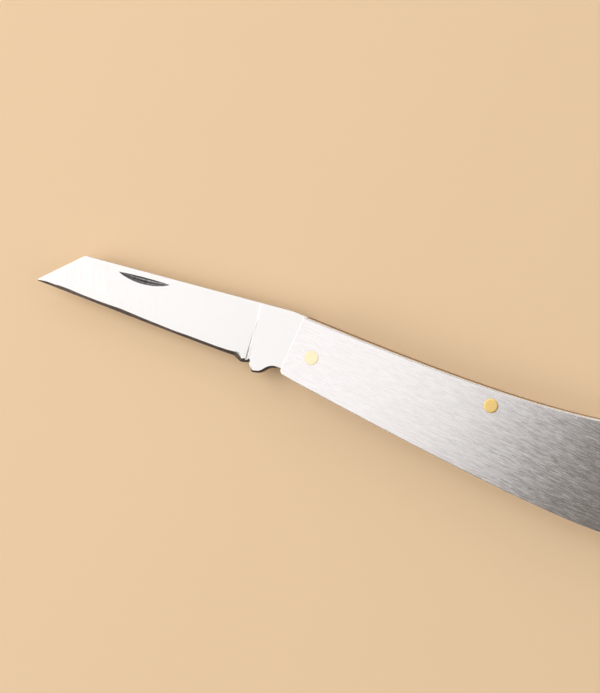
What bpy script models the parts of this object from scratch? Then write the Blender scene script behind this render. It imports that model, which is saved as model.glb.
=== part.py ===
# Lambfoot slip-joint pocket knife with plain steel scales, modelled open, in metres.
# Frame: the origin is on the blade's pivot axis, in the plane that the knife lies on.
# +X runs to the butt, +Y to the back (the spring side), +Z to the mark side, which carries the nail nick.
import math

import bmesh
import bpy
from mathutils import Matrix, Vector
from mathutils.geometry import interpolate_bezier

# Stack of plates from the pile side up
SCALE_THICK = 0.0022
LINER_THICK = 0.0006
SPRING_THICK = 0.0025
SEAT_GAP = 0.00003
BLADE_PLAY = 0.00005

# Handle outline, measured from the pivot
FRONT_TOP_X = -0.0042
FRONT_TOP_Y = 0.0090
FRONT_TOP_R = 0.0005
FRONT_LOW_X = -0.00688
FRONT_LOW_Y = -0.00538
FRONT_LOW_R = 0.0012
BACK_FALL = 0.132
BACK_FRONT_PULL = 0.0215
BACK_WAIST_PULL = 0.019
WAIST_X = 0.061
WAIST_Y = 0.0032
BUTT_X = 0.0885
BUTT_Y = -0.0086
BUTT_BACK_SPAN = 0.0115
BUTT_BACK_Y = 0.00355
BUTT_BELLY_SPAN = 0.0095
BELLY_Y = -0.02145
BELLY_FRONT_X = -0.0038
BELLY_FRONT_Y = -0.00627
BELLY_FALL = 0.228
BELLY_FRONT_PULL = 0.044
BELLY_BUTT_PULL = 0.012
EDGE_EASE = 0.00015

# Pins
PIN_DIA = 0.0034
PIN_FIT = 0.00006
SPRING_PIN_X = 0.0444
SPRING_PIN_Y = 0.0
BUTT_PIN_INSET = 0.0080
BUTT_PIN_Y = -0.0042
PIN_SIDES = 48

# Tang and its two flats
CLOSED_ANGLE = math.radians(167.0)
FLAT_REACH = 0.0044
CAM_RADIUS = 0.0054
SHOULDER_GAP = 0.00012
FLAT_FRONT_X = -0.0042
TANG_NECK_X = -0.0062
TANG_NECK_Y = -0.00445

# Blade outline
SPINE_BEND_X = -0.0080
SPINE_BEND_Y = 0.00950
SPINE_BEND_R = 0.015
SPINE_END_X = -0.0636
SPINE_END_Y = 0.0098
SPINE_END_R = 0.0014
TIP_X = -0.0752
TIP_Y = 0.00084
TIP_R = 0.00025
EDGE_FALL = 0.10
EDGE_TIP_PULL = 0.015
EDGE_HEEL_PULL = 0.004
HEEL_X = -0.0202
HEEL_Y = -0.00445
HEEL_R = 0.0016
HEEL_DROP_X = -0.0181
HEEL_DROP_Y = -0.00558
HEEL_END_X = -0.0165
HEEL_END_Y = -0.0053
HEEL_END_R = 0.00035
CHOIL_X = -0.0161
CHOIL_Y = -0.0047
CHOIL_WIDE = 0.0005
CHOIL_R = 0.0002
KICK_X = -0.01398
KICK_Y = -0.0070
KICK_WIDE = 0.00156
KICK_R = 0.0007
SCOOP_X = -0.0096
SCOOP_R = 0.0026

# Grinds and nail nick
EDGE_HALF = 0.00003
SHOULDER_HALF = 0.00027
TIP_SPINE_HALF = 0.00078
BEVEL_WIDE = 0.00085
BEVEL_OVERCUT = 1.4
GRIND_TOP = 0.0006
PLUNGE_X = -0.0159
PLUNGE_RUN = 0.0006
PLUNGE_CLEAR = 0.00035
NICK_X = -0.0473
NICK_Y = 0.0083
NICK_LONG = 0.0135
NICK_WIDE = 0.00175
NICK_DEEP = 0.00055
NICK_SWEEP = 1.2

# Backspring underside
SPRING_BAR = 0.0026
SPRING_BAR_X = 0.0330
SPRING_CONTACT_X = 0.0065
KICK_REST_GAP = 0.0003
BOSS_WALL = 0.0023
BOSS_FRONT = 0.0052
TAIL_X = 0.0700
TAIL_Y = -0.0070
TAIL_END_Y = -0.0130

# Facets along curves
ARC_TURN = math.radians(12.0)
ARC_CHORD = 0.004
CURVE_STEPS = 18
EASE_STEPS = 3
PLUNGE_STEPS = 4
NICK_STEPS = 12
SHARP_TURN = math.radians(25.0)
# Share of a side that one rounded corner may take, so that two corners never meet
CORNER_SHARE = 0.48
# Half the angle between two sides beyond which they count as one straight line
STRAIGHT_HALF = math.radians(89.99)
# Where a Bezier's pulls lie, from its ends to the corner, for a quarter of an ellipse
ELLIPSE_PULL = 0.5523

# Heights worked out from the stack
PILE_LINER_Z = SCALE_THICK + SEAT_GAP
SPRING_Z = PILE_LINER_Z + LINER_THICK + SEAT_GAP
MARK_LINER_Z = SPRING_Z + SPRING_THICK + SEAT_GAP
MARK_SCALE_Z = MARK_LINER_Z + LINER_THICK + SEAT_GAP
TOTAL_THICK = MARK_SCALE_Z + SCALE_THICK
MID_Z = TOTAL_THICK / 2
TANG_HALF = SPRING_THICK / 2 - BLADE_PLAY
PIN_R = PIN_DIA / 2
BORE_R = PIN_R + PIN_FIT
GRIND_HEEL_X = PLUNGE_X - PLUNGE_RUN
PIN_PLACES = {
    "pivot_pin": Vector((0.0, 0.0)),
    "spring_pin": Vector((SPRING_PIN_X, SPRING_PIN_Y)),
    "butt_pin": Vector((BUTT_X - BUTT_PIN_INSET, BUTT_PIN_Y)),
}
# How far a cutter reaches past the piece that it cuts
OVERRUN = 2 * SCALE_THICK
GRIND_TIP_X = TIP_X - OVERRUN


def clear_scene():
    for old in list(bpy.data.objects):
        bpy.data.objects.remove(old, do_unlink=True)


def material(name, colour, roughness):
    mat = bpy.data.materials.new(name)
    mat.use_nodes = True
    shader = mat.node_tree.nodes["Principled BSDF"]
    shader.inputs["Base Color"].default_value = (*colour, 1.0)
    shader.inputs["Metallic"].default_value = 1.0
    shader.inputs["Roughness"].default_value = roughness
    return mat


def curve(start, start_pull, end_pull, end):
    """Points of one Bezier span, without its last point."""
    knots = [Vector((*p, 0.0)) for p in (start, start_pull, end_pull, end)]
    return [p.to_2d() for p in interpolate_bezier(*knots, CURVE_STEPS)[:-1]]


def quarter(start, corner, end):
    """A quarter of an ellipse between two tangents that meet at corner."""
    return curve(start, start.lerp(corner, ELLIPSE_PULL), end.lerp(corner, ELLIPSE_PULL), end)


def arc(centre, radius, start, end):
    turn = end - start
    steps = max(2, math.ceil(abs(turn) / ARC_TURN), math.ceil(abs(turn) * radius / ARC_CHORD))
    return [
        centre + radius * Vector((math.cos(start + turn * k / steps), math.sin(start + turn * k / steps)))
        for k in range(steps + 1)
    ]


def rounded(corners):
    """An open path through (x, y, radius) corners, each rounded by its radius as far as its sides allow."""
    spots = [Vector((x, y)) for x, y, _ in corners]
    path = [spots[0]]
    for before, spot, after, corner in zip(spots, spots[1:], spots[2:], corners[1:]):
        to_before, to_after = before - spot, after - spot
        half = to_before.angle(to_after) / 2
        room = CORNER_SHARE * min(to_before.length, to_after.length)
        radius = min(corner[2], room * math.tan(half))
        if radius <= 0.0 or half > STRAIGHT_HALF:
            path.append(spot)
            continue
        bisector = (to_before.normalized() + to_after.normalized()).normalized()
        centre = spot + bisector * (radius / math.sin(half))
        foot = spot + to_before.normalized() * (radius / math.tan(half)) - centre
        turn = math.pi - 2 * half
        side = 1.0 if to_after.cross(to_before) > 0.0 else -1.0
        start = math.atan2(foot.y, foot.x)
        path += arc(centre, radius, start, start + side * turn)
    return path + [spots[-1]]


def mesh_object(name, bm, mat=None, smooth=True):
    bmesh.ops.recalc_face_normals(bm, faces=bm.faces)
    mesh = bpy.data.meshes.new(name)
    bm.to_mesh(mesh)
    bm.free()
    if smooth:
        mesh.shade_smooth()
        mesh.set_sharp_from_angle(angle=SHARP_TURN)
    obj = bpy.data.objects.new(name, mesh)
    bpy.context.scene.collection.objects.link(obj)
    if mat:
        mesh.materials.append(mat)
    return obj


def plate_mesh(outline, low, high):
    bm = bmesh.new()
    face = bm.faces.new([bm.verts.new((p.x, p.y, low)) for p in outline])
    grown = bmesh.ops.extrude_face_region(bm, geom=[face])["geom"]
    lifted = [item for item in grown if isinstance(item, bmesh.types.BMVert)]
    bmesh.ops.translate(bm, verts=lifted, vec=(0.0, 0.0, high - low))
    return bm


def add_loft(bm, sections):
    """Adds a closed solid through equal rings of points, capped at both ends."""
    rings = [[bm.verts.new(p) for p in section] for section in sections]
    for ring, after in zip(rings, rings[1:]):
        for k in range(len(ring)):
            m = (k + 1) % len(ring)
            bm.faces.new((ring[k], ring[m], after[m], after[k]))
    bm.faces.new(rings[0])
    bm.faces.new(rings[-1])


def cutter(name, bm, parent=None):
    bmesh.ops.triangulate(bm, faces=bm.faces)
    obj = mesh_object(name, bm, smooth=False)
    obj.hide_render = True
    obj.display_type = "WIRE"
    obj.parent = parent
    return obj


def cut(obj, tool):
    step = obj.modifiers.new(tool.name, "BOOLEAN")
    step.operation = "DIFFERENCE"
    step.solver = "EXACT"
    step.object = tool
    obj.modifiers.new("flat faces", "TRIANGULATE")


def handle_back():
    """Back and butt of the handle, from the front corner round to the belly."""
    front = Vector((FRONT_TOP_X, FRONT_TOP_Y))
    waist = Vector((WAIST_X, WAIST_Y))
    butt_back = Vector((BUTT_X - BUTT_BACK_SPAN, BUTT_BACK_Y))
    butt = Vector((BUTT_X, BUTT_Y))
    belly = Vector((BUTT_X - BUTT_BELLY_SPAN, BELLY_Y))
    reach = (butt_back.x - waist.x) / 2
    return (
        curve(front, front + BACK_FRONT_PULL * Vector((1.0, -BACK_FALL)),
              waist - Vector((BACK_WAIST_PULL, 0.0)), waist)
        + curve(waist, waist + Vector((reach, 0.0)), butt_back - Vector((reach, 0.0)), butt_back)
        + quarter(butt_back, Vector((butt.x, butt_back.y)), butt)
        + quarter(butt, Vector((butt.x, belly.y)), belly)
        + [belly]
    )


def handle_outline():
    back = handle_back()
    belly_front = Vector((BELLY_FRONT_X, BELLY_FRONT_Y))
    belly = curve(back[-1], back[-1] - Vector((BELLY_BUTT_PULL, 0.0)),
                  belly_front + BELLY_FRONT_PULL * Vector((1.0, -BELLY_FALL)), belly_front)
    front = rounded([
        (BELLY_FRONT_X, BELLY_FRONT_Y, 0.0),
        (FRONT_LOW_X, FRONT_LOW_Y, FRONT_LOW_R),
        (FRONT_TOP_X, FRONT_TOP_Y, FRONT_TOP_R),
        (back[1].x, back[1].y, 0.0),
    ])
    return back[1:] + belly[1:] + front[:-1]


def turned(point, angle):
    return Matrix.Rotation(angle, 2) @ point


def back_at(x):
    """Height of the handle's back at x."""
    back = handle_back()
    for a, b in zip(back, back[1:]):
        if a.x <= x <= b.x:
            return a.lerp(b, (x - a.x) / (b.x - a.x)).y
    return back[0].y


def edge_corners():
    """Cutting edge, slightly bellied, from the tip to the heel and the bulge behind it."""
    tip, heel = Vector((TIP_X, TIP_Y)), Vector((HEEL_X, HEEL_Y))
    belly = curve(tip, tip + EDGE_TIP_PULL * Vector((1.0, -EDGE_FALL)),
                  heel - Vector((EDGE_HEEL_PULL, 0.0)), heel)
    return [
        (TIP_X, TIP_Y, TIP_R),
        *((p.x, p.y, 0.0) for p in belly[1:]),
        (HEEL_X, HEEL_Y, HEEL_R),
        (HEEL_DROP_X, HEEL_DROP_Y, HEEL_R),
        (HEEL_END_X, HEEL_END_Y, HEEL_END_R),
    ]


def blade_outline():
    """Blade and tang: shoulder, spine, slant, edge, heel, choil, kick, closed flat, cam and open flat."""
    normal = math.pi / 2 - CLOSED_ANGLE
    spread = math.acos(FLAT_REACH / CAM_RADIUS)
    flat_front_y = (FLAT_REACH - FLAT_FRONT_X * math.cos(normal)) / math.sin(normal)
    cam = arc(Vector((0.0, 0.0)), CAM_RADIUS, normal + spread, math.pi / 2 - spread)
    path = rounded(
        [(cam[-1].x, cam[-1].y, 0.0),
         (FRONT_TOP_X, FLAT_REACH, 0.0),
         (FRONT_TOP_X, FRONT_TOP_Y, 0.0),
         (SPINE_BEND_X, SPINE_BEND_Y, SPINE_BEND_R),
         (SPINE_END_X, SPINE_END_Y, SPINE_END_R)]
        + edge_corners()
        + [(CHOIL_X - CHOIL_WIDE / 2, CHOIL_Y, CHOIL_R),
           (CHOIL_X + CHOIL_WIDE / 2, CHOIL_Y, CHOIL_R),
           (KICK_X - KICK_WIDE / 2, KICK_Y, KICK_R),
           (KICK_X + KICK_WIDE / 2, KICK_Y, KICK_R),
           (SCOOP_X, TANG_NECK_Y, SCOOP_R),
           (TANG_NECK_X, TANG_NECK_Y, KICK_R),
           (FLAT_FRONT_X, flat_front_y, KICK_R),
           (cam[0].x, cam[0].y, 0.0)])
    return path + cam[1:-1]


def ground_line(brow_y, spine_half):
    """Half thickness of a ground section at y = 0, and its rise towards the spine."""
    rise = (spine_half - SHOULDER_HALF) / (SPINE_END_Y - GRIND_TOP - brow_y)
    return Vector((SHOULDER_HALF - rise * brow_y, rise))


def tip_ground():
    return ground_line(TIP_Y + BEVEL_WIDE, TIP_SPINE_HALF)


def heel_ground():
    return ground_line(HEEL_Y + BEVEL_WIDE, TANG_HALF)


def grind_cutter(parent):
    """The wedges ground off both faces: full height, thinner towards the tip, with a round plunge."""
    out = TANG_HALF + OVERRUN
    clear = TANG_HALF + PLUNGE_CLEAR
    low, high = KICK_Y - OVERRUN, SPINE_END_Y + OVERRUN

    def section(x, depth, ground, side):
        ring = []
        for y in (low, high):
            half = ground.x + ground.y * y
            ring.append((x, y, side * (clear + depth * (half - clear))))
        return ring + [(x, high, side * out), (x, low, side * out)]

    bm = bmesh.new()
    for side in (1.0, -1.0):
        rings = [section(GRIND_TIP_X, 1.0, tip_ground(), side)]
        for k in range(PLUNGE_STEPS + 1):
            share = k / PLUNGE_STEPS
            depth = math.sqrt(max(0.0, 1.0 - share ** 2))
            rings.append(section(GRIND_HEEL_X + PLUNGE_RUN * share, depth, heel_ground(), side))
        add_loft(bm, rings)
    return cutter("grind", bm, parent)


def bevel_cutter(parent):
    """The narrow sharpened bevels, carried along the edge and round the heel."""
    start = Vector((TIP_X, TIP_Y)) + OVERRUN * Vector((-1.0, EDGE_FALL))
    corners = rounded([(start.x, start.y, 0.0)] + edge_corners()[1:])
    # Stations halfway between the outline's points keep the cutter's creases off the outline's own
    path = [(a + b) / 2 for a, b in zip(corners, corners[1:])] + corners[-1:]
    slope = (SHOULDER_HALF - EDGE_HALF) / BEVEL_WIDE
    outside = 0.5 * EDGE_HALF / slope
    bm = bmesh.new()
    for side in (1.0, -1.0):
        rings = []
        for k, spot in enumerate(path):
            along = path[min(k + 1, len(path) - 1)] - path[max(k - 1, 0)]
            inward = Vector((-along.y, along.x)).normalized()
            ring = []
            for reach in (-outside, BEVEL_OVERCUT * BEVEL_WIDE):
                p = spot + reach * inward
                ring.append((p.x, p.y, side * (EDGE_HALF + slope * reach)))
            ring += [(x, y, side * (TANG_HALF + PLUNGE_CLEAR)) for x, y, _ in reversed(ring)]
            rings.append(ring)
        add_loft(bm, rings)
    return cutter("edge_bevel", bm, parent)


def nick_cutter(parent):
    """The rim of a grinding wheel, flat on its spine side and coned on the other, sunk into the mark side."""
    share = (NICK_X - GRIND_TIP_X) / (GRIND_HEEL_X - GRIND_TIP_X)
    ground = tip_ground().lerp(heel_ground(), share)
    wheel = NICK_LONG ** 2 / (8 * NICK_DEEP) + NICK_DEEP / 2
    cone = NICK_DEEP / NICK_WIDE - ground.y
    axis_z = ground.x + ground.y * NICK_Y - NICK_DEEP + wheel
    sweep = NICK_SWEEP * math.asin(NICK_LONG / 2 / wheel)
    lid = TANG_HALF + OVERRUN
    rings = []
    for drop in (0.0, 2 * NICK_WIDE):
        rim = [
            Vector((NICK_X, axis_z)) + (wheel - cone * drop) * Vector((math.sin(t), -math.cos(t)))
            for t in (sweep * (2 * k / NICK_STEPS - 1) for k in range(NICK_STEPS + 1))
        ]
        ring = [(p.x, NICK_Y - drop, p.y) for p in rim]
        rings.append(ring + [(rim[-1].x, NICK_Y - drop, lid), (rim[0].x, NICK_Y - drop, lid)])
    bm = bmesh.new()
    add_loft(bm, rings)
    return cutter("nail_nick", bm, parent)


def bore_cutter():
    bm = bmesh.new()
    for place in PIN_PLACES.values():
        spot = Matrix.Translation((place.x, place.y, MID_Z))
        bmesh.ops.create_cone(bm, cap_ends=True, segments=PIN_SIDES, radius1=BORE_R, radius2=BORE_R,
                              depth=TOTAL_THICK + OVERRUN, matrix=spot)
    return cutter("pin_bores", bm)


def build_scale(name, low, outer_up, bores, mat):
    """A steel side plate with its bores and an eased edge round its outer face."""
    bm = plate_mesh(handle_outline(), low, low + SCALE_THICK)
    outer = low + SCALE_THICK if outer_up else low
    rim = [e for e in bm.edges if all(abs(v.co.z - outer) < SEAT_GAP for v in e.verts)]
    bmesh.ops.bevel(bm, geom=rim, offset=EDGE_EASE, offset_type="OFFSET", segments=EASE_STEPS, profile=0.5,
                    affect="EDGES")
    cut(mesh_object(name, bm, mat), bores)


def build_liner(name, low, bores, mat):
    cut(mesh_object(name, plate_mesh(handle_outline(), low, low + LINER_THICK), mat), bores)


def build_spring(bores, mat):
    """The backspring: back and butt flush with the scales, underside clear of tang, kick and blade."""
    front = FRONT_TOP_X + SHOULDER_GAP
    seat = FLAT_REACH + SEAT_GAP
    kick = turned(Vector((KICK_X, KICK_Y)), CLOSED_ANGLE)
    boss = SPRING_PIN_Y - PIN_R - BOSS_WALL
    back = [p for p in handle_back() if p.x > front and p.y > TAIL_END_Y]
    under = rounded([
        (back[-1].x, back[-1].y, 0.0),
        (TAIL_X, TAIL_Y, PIN_DIA),
        (SPRING_PIN_X + BOSS_FRONT, boss, PIN_DIA),
        (SPRING_PIN_X - BOSS_FRONT, boss, PIN_DIA),
        (SPRING_BAR_X, back_at(SPRING_BAR_X) - SPRING_BAR, PIN_DIA),
        (kick.x, kick.y + KICK_REST_GAP, PIN_DIA),
        (SPRING_CONTACT_X, seat, PIN_DIA),
        (front, seat, 0.0),
    ])
    outline = [Vector((front, back_at(front)))] + back + under[1:]
    bm = plate_mesh(outline, SPRING_Z, SPRING_Z + SPRING_THICK)
    cut(mesh_object("backspring", bm, mat), bores)


def build_blade(bores, mat):
    """The blade turns on the pivot, so its origin is on that axis, in the middle of the stack."""
    blade = mesh_object("blade", plate_mesh(blade_outline(), -TANG_HALF, TANG_HALF), mat)
    blade.location = (0.0, 0.0, MID_Z)
    cut(blade, grind_cutter(blade))
    cut(blade, bevel_cutter(blade))
    cut(blade, nick_cutter(blade))
    cut(blade, bores)


def build_pin(name, place, mat):
    bm = bmesh.new()
    bmesh.ops.create_cone(bm, cap_ends=True, segments=PIN_SIDES, radius1=PIN_R, radius2=PIN_R,
                          depth=TOTAL_THICK)
    pin = mesh_object(name, bm, mat)
    pin.location = (place.x, place.y, MID_Z)


def main():
    clear_scene()
    bores = bore_cutter()
    scale_steel = material("brushed scale steel", (0.66, 0.64, 0.63), 0.34)
    build_scale("mark_side_scale", MARK_SCALE_Z, True, bores, scale_steel)
    build_scale("pile_side_scale", 0.0, False, bores, scale_steel)
    liner_brass = material("liner brass", (0.80, 0.62, 0.30), 0.36)
    build_liner("mark_side_liner", MARK_LINER_Z, bores, liner_brass)
    build_liner("pile_side_liner", PILE_LINER_Z, bores, liner_brass)
    build_spring(bores, material("spring steel", (0.58, 0.56, 0.55), 0.28))
    build_blade(bores, material("ground blade steel", (0.78, 0.77, 0.77), 0.22))
    pin_brass = material("pin brass", (0.90, 0.72, 0.36), 0.30)
    for name, place in PIN_PLACES.items():
        build_pin(name, place, pin_brass)


main()
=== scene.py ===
# Looks of the lambfoot slip-joint knife: fine surfaces, finishes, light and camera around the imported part.
# Shapes are worked out in millimetres in the part's own frame: +X to the butt, +Y to the back, +Z up.
import math

import bmesh
import bpy
import numpy as np
from mathutils import Matrix, Quaternion, Vector


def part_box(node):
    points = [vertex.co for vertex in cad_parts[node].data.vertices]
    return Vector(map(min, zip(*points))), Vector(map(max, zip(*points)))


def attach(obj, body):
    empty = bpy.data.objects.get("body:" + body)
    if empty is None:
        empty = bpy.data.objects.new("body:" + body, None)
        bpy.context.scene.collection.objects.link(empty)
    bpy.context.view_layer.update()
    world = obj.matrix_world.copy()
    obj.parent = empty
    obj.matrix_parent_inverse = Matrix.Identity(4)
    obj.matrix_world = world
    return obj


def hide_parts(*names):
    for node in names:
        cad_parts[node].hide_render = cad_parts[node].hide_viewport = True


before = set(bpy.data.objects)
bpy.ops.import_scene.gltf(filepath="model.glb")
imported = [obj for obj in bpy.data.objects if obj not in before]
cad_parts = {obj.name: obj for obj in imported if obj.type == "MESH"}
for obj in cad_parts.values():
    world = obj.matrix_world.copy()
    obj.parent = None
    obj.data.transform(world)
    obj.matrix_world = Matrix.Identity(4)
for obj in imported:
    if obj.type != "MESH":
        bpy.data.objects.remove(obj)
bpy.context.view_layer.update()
mm = 0.001
print("frame loaded:", sorted(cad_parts))


# Height range of a node, and a pin's centre and radius, in millimetres
def heightsOf(node):
    low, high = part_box(node)
    return low.z / mm, high.z / mm


def pinOf(node):
    low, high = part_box(node)
    middle = (low + high) / 2
    return np.array((middle.x, middle.y)) / mm, (high.x - low.x) / 2 / mm


# Curves in the plane

def unit(v, least=1e-12):
    return v / np.maximum(np.linalg.norm(v, axis=-1, keepdims=True), least)


# Cubic span: (1-t)^3 a + 3 (1-t)^2 t b + 3 (1-t) t^2 c + t^3 d
def cubicSpan(a, b, c, d, count=200):
    t = np.linspace(0.0, 1.0, count)[:, None]
    return (1 - t) ** 3 * a + 3 * (1 - t) ** 2 * t * b + 3 * (1 - t) * t ** 2 * c + t ** 3 * d


# Quarter of an ellipse: centre + (start - centre) cos a + (end - centre) sin a,
# where centre = start + end - corner
def ellipseQuarter(start, corner, end, count=120):
    a = np.linspace(0.0, math.pi / 2, count)[:, None]
    centre = start + end - corner
    return centre + (start - centre) * np.cos(a) + (end - centre) * np.sin(a)


# Straight runs through (x, y, radius) corners, with an arc at each corner as far as its runs have room:
# centre + (start sin((1-t) turn) + end sin(t turn)) / sin(turn)
def roundedPath(corners, arcSteps=24, room=0.48, leastRadius=1e-6, leastTurn=1e-3):
    spots = np.array([c[:2] for c in corners], float)
    parts = [spots[:1]]
    for i in range(1, len(spots) - 1):
        runs = spots[[i - 1, i + 1]] - spots[i]
        lengths = np.linalg.norm(runs, axis=1)
        before, after = unit(runs)
        half = math.acos(np.clip(before @ after, -1.0, 1.0)) / 2
        radius = min(corners[i][2], room * lengths.min() * math.tan(half))
        turn = math.pi - 2 * half
        if radius < leastRadius or turn < leastTurn:
            parts.append(spots[i:i + 1])
            continue
        centre = spots[i] + unit(before + after) * radius / math.sin(half)
        start = spots[i] + before * radius / math.tan(half) - centre
        end = spots[i] + after * radius / math.tan(half) - centre
        t = np.linspace(0.0, 1.0, arcSteps)[:, None]
        parts.append(centre + (start * np.sin((1 - t) * turn) + end * np.sin(t * turn)) / math.sin(turn))
    return np.concatenate(parts + [spots[-1:]])


# The same path with its points a set step apart along its length
def evenly(path, step=None, count=None):
    run = np.concatenate([[0.0], np.cumsum(np.linalg.norm(np.diff(path, axis=0), axis=1))])
    count = count or max(3, int(round(run[-1] / step)) + 1)
    at = np.linspace(0.0, run[-1], count)
    return np.stack([np.interp(at, run, path[:, 0]), np.interp(at, run, path[:, 1])], axis=-1)


# Y of a line at x, read on its stretch up to the furthest x
def yAt(line, x):
    rising = line[:line[:, 0].argmax() + 1]
    return np.interp(x, rising[:, 0], rising[:, 1])


# Outward normals of a closed loop: the average of the normals of the two sides at each point
def outward(loop):
    side = np.roll(loop, -1, axis=0) - loop
    normal = unit(np.stack([side[:, 1], -side[:, 0]], axis=-1))
    area = (loop[:, 0] * np.roll(loop[:, 1], -1) - np.roll(loop[:, 0], -1) * loop[:, 1]).sum()
    both = unit(normal + np.roll(normal, 1, axis=0))
    return both if area > 0 else -both


# From 0 at low to 1 at high: 3 t^2 - 2 t^3
def smooth(x, low, high):
    t = np.clip((x - low) / (high - low), 0.0, 1.0)
    return t * t * (3 - 2 * t)


# From 0 to 1 between the first two places, and back to 0 between the last two
def window(x, places):
    return np.interp(x, places, (0.0, 1.0, 1.0, 0.0))


# Smaller of two heights, rounded over a width where they cross
def softMin(a, b, width):
    share = np.clip(0.5 + 0.5 * (b - a) / width, 0.0, 1.0)
    return b + (a - b) * share - width * share * (1 - share)


# Patches: a grid of points, rows by columns, whether its last column meets its first, and the points' marks.
# A mark is two shares: painted shade (the honed bevel's dark reflection, the kick's shaded wall, the plunge
# line), and the nick's dark oxide with painted light stripes and a painted shadow in the choil. Patches
# together close one piece.
plain = np.zeros(2)


def withHeight(flat, height):
    return np.concatenate([flat, np.broadcast_to(height, flat.shape[:-1])[..., None]], axis=-1)


# Bore to edge: circle + share (edge - circle), with the shares bunched at both rims
def ringPatch(loop, guide, centre, radius, height, rows=7, rim=0.12, mostRim=0.2, least=1e-6):
    circle = centre + radius * unit(guide - centre)
    reach = np.linalg.norm(loop - circle, axis=1)
    tight = np.minimum(rim / np.maximum(reach, least), mostRim)
    share = np.linspace(0.0, 1.0, rows)[:, None] * (1 - 2 * tight) + tight
    share = np.concatenate([np.zeros((1, len(loop))), share, np.ones((1, len(loop)))])
    flat = circle + share[..., None] * (loop - circle)
    return withHeight(flat, height), circle


# Wall of a bore: its circle at both heights
def boreWall(circle, low, high):
    return withHeight(np.stack([circle, circle]), np.array([[low], [high]])), True, plain


# Faces round their bores at one height; the lower ones bring the bores' walls
def boredFaces(zones, guides, bores, height, low, high):
    patches = []
    for zone, guide, (centre, radius) in zip(zones, guides, bores):
        face, circle = ringPatch(zone, guide, centre, radius, height)
        patches.append((face, True, plain))
        if height == low:
            patches.append(boreWall(circle, low, high))
    return patches


# Wall round a loop: a quarter circle from each inset face out to the wall, which is straight between them
def wallPatch(loop, normal, easeHigh, easeLow, high, low, steps=6):
    a = np.linspace(0.0, math.pi / 2, steps)[:, None]
    inHigh, dropHigh = easeHigh * (1 - np.sin(a)), easeHigh * (1 - np.cos(a))
    inLow, riseLow = easeLow * (1 - np.sin(a)), easeLow * (1 - np.cos(a))
    inset = np.concatenate([inHigh, inLow[::-1]])
    z = np.concatenate([high - dropHigh, (low + riseLow)[::-1]])
    return withHeight(loop - inset[..., None] * normal, z)


# Joins patches where their points meet, drops what has no area, and returns points, quads, triangles, marks
def weld(patches, meet=1e-4):
    points, quads, marks, base = [], [], [], 0
    for grid, wrap, mark in patches:
        index = base + np.arange(grid.shape[0] * grid.shape[1]).reshape(grid.shape[:2])
        if wrap:
            index = np.concatenate([index, index[:, :1]], axis=1)
        corners = index[:-1, :-1], index[:-1, 1:], index[1:, 1:], index[1:, :-1]
        quads.append(np.stack(corners, axis=-1).reshape(-1, 4))
        points.append(grid.reshape(-1, 3))
        marks.append(np.broadcast_to(mark, grid.shape[:2] + (2,)).reshape(-1, 2))
        base += len(points[-1])
    points, marks = np.concatenate(points), np.concatenate(marks)
    cells = np.round(points / meet).astype(np.int64)
    _, first, place = np.unique(cells, axis=0, return_index=True, return_inverse=True)
    quads = place.reshape(-1)[np.concatenate(quads)]
    same = quads == np.roll(quads, -1, axis=1)
    repeats = same.sum(axis=1)
    tris = quads[repeats == 1][~same[repeats == 1]].reshape(-1, 3)
    return points[first], quads[repeats == 0], tris, marks[first]


# Brush map: u runs across the brush lines and v along them, size millimetres to a unit.
# Both also grow with height, by lean, so that upright walls have a direction too.
brushMap = dict(name="brush", size=200.0, lean=(1.0, 0.37))


def mapBrush(mesh, points, brushTurn, m):
    across, along = (-math.sin(brushTurn), math.cos(brushTurn)), (math.cos(brushTurn), math.sin(brushTurn))
    flat = points[:, :2] @ np.array((across, along)).T + points[:, 2:] * np.array(m["lean"])
    order = np.zeros(len(mesh.loops), np.int32)
    mesh.loops.foreach_get("vertex_index", order)
    layer = mesh.uv_layers.new(name=m["name"])
    layer.data.foreach_set("uv", (flat[order] / m["size"]).astype(np.float32).ravel())


def makePiece(name, patches, body, node, material, brushTurn=0.0, sharp=40.0):
    points, quads, tris, marks = weld(patches)
    mesh = bpy.data.meshes.new(name)
    mesh.vertices.add(len(points))
    mesh.vertices.foreach_set("co", (points * mm).astype(np.float32).ravel())
    corners = np.concatenate([quads.ravel(), tris.ravel()]).astype(np.int32)
    mesh.loops.add(len(corners))
    mesh.loops.foreach_set("vertex_index", corners)
    starts = np.concatenate([np.arange(len(quads)) * 4, len(quads) * 4 + np.arange(len(tris)) * 3])
    mesh.polygons.add(len(starts))
    mesh.polygons.foreach_set("loop_start", starts.astype(np.int32))
    mesh.update(calc_edges=True)
    mesh.validate()
    bm = bmesh.new()
    bm.from_mesh(mesh)
    bmesh.ops.recalc_face_normals(bm, faces=bm.faces)
    openEdges = sum(not e.is_manifold for e in bm.edges)
    bm.to_mesh(mesh)
    bm.free()
    mesh.shade_smooth()
    mesh.set_sharp_from_angle(angle=math.radians(sharp))
    # Point masks: painted shade, and the nick's oxide with its painted stripes and the choil's painted shadow
    for column, mask in enumerate(("paintedShadeMask", "nickOxideAndPaintedShadeMask")):
        layer = mesh.attributes.new(mask, "FLOAT", "POINT")
        layer.data.foreach_set("value", marks[:, column].astype(np.float32))
    mapBrush(mesh, points, brushTurn, brushMap)
    mesh.materials.append(material)
    piece = bpy.data.objects.new(name, mesh)
    bpy.context.scene.collection.objects.link(piece)
    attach(piece, body)
    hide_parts(node)
    print(f"{name}: {2 * len(quads) + len(tris)} triangles, {openEdges} open edges")


# Finishes

def addNode(tree, kind, **values):
    node = tree.nodes.new(kind)
    for key, value in values.items():
        if key in node.inputs:
            node.inputs[key].default_value = value
        else:
            setattr(node, key, value)
    return node


def mathNode(tree, operation, *values):
    node = addNode(tree, "ShaderNodeMath", operation=operation)
    for socket, value in zip(node.inputs, values):
        tree.links.new(value, socket)
    return node.outputs["Value"]


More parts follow.
